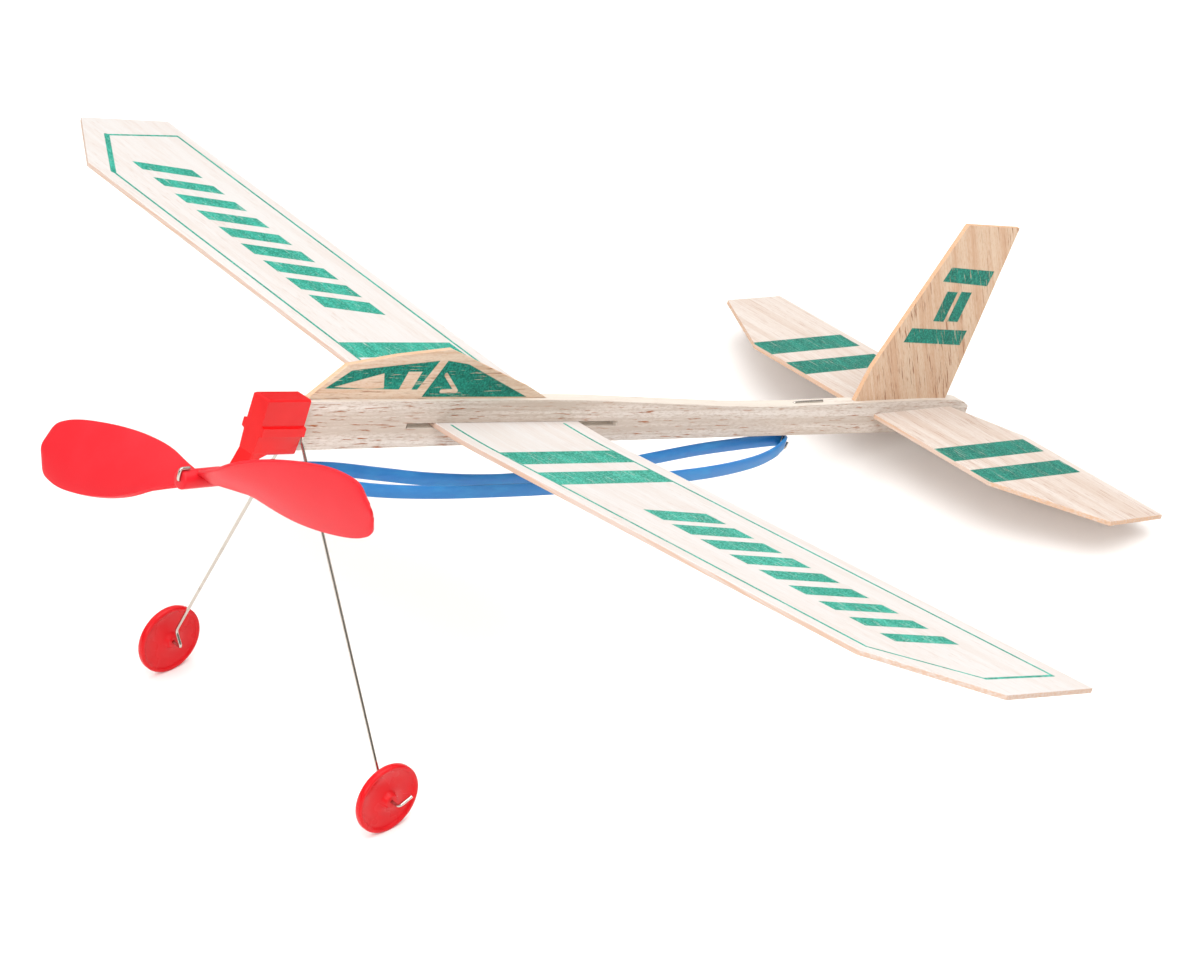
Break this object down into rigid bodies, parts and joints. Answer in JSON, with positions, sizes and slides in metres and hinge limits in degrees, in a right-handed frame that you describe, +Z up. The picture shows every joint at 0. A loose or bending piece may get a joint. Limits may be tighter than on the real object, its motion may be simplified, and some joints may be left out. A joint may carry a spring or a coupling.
{
  "type": "rubber band model plane",
  "caption": "Stick-and-sheet balsa model plane, driven by a rubber band from a front propeller, standing on two wheels and its tail.",
  "frame": {"origin": "centre of the bounding box's base, on the surface that the plane stands on", "axes": "+X forwards towards the propeller, +Y to the plane's port side along the span, +Z up; the plane stands nose-up on its wheels and tail"},
  "size_m": [0.3456, 0.419, 0.1321],
  "materials": {
    "stick_balsa": "sanded bare balsa",
    "wing_balsa": "sanded bare balsa sheet, printed",
    "tail_balsa": "sanded bare balsa sheet, printed",
    "red_plastic": "gloss moulded",
    "propeller_plastic": "satin moulded",
    "steel_wire": "bright drawn wire",
    "blue_rubber": "matte, lightly dusted"
  },
  "bodies": {
    "fuselage": {"fuselage_stick": "stick_balsa", "canopy": "tail_balsa", "stabiliser": "tail_balsa", "fin": "tail_balsa", "rear_hook": "steel_wire", "nose_bracket": "red_plastic", "landing_gear_wire": "steel_wire", "rubber_band": "blue_rubber"},
    "wing": {"wing": "wing_balsa"},
    "propeller": {"propeller": "propeller_plastic", "propeller_shaft": "steel_wire"},
    "wheel_left": {"wheel_left": "red_plastic"},
    "wheel_right": {"wheel_right": "red_plastic"}
  },
  "joints": [
    {"name": "propeller_spin", "type": "hinge", "parent": "fuselage", "child": "propeller", "pos_m": [0.14778, 0, 0.10061], "axis": [0.9539, 0, 0.3], "continuous": true, "deforming": ["rubber_band"]},
    {"name": "wheel_left_spin", "type": "hinge", "parent": "fuselage", "child": "wheel_left", "pos_m": [0.13552, 0.052, 0.011], "axis": [0, 1, 0], "continuous": true},
    {"name": "wheel_right_spin", "type": "hinge", "parent": "fuselage", "child": "wheel_right", "pos_m": [0.13552, -0.052, 0.011], "axis": [0, 1, 0], "continuous": true},
    {"name": "wing_slide", "type": "slide", "parent": "fuselage", "child": "wing", "axis": [0.9339, 0, 0.3576], "range_m": [-0.017, 0.0112]}
  ]
}
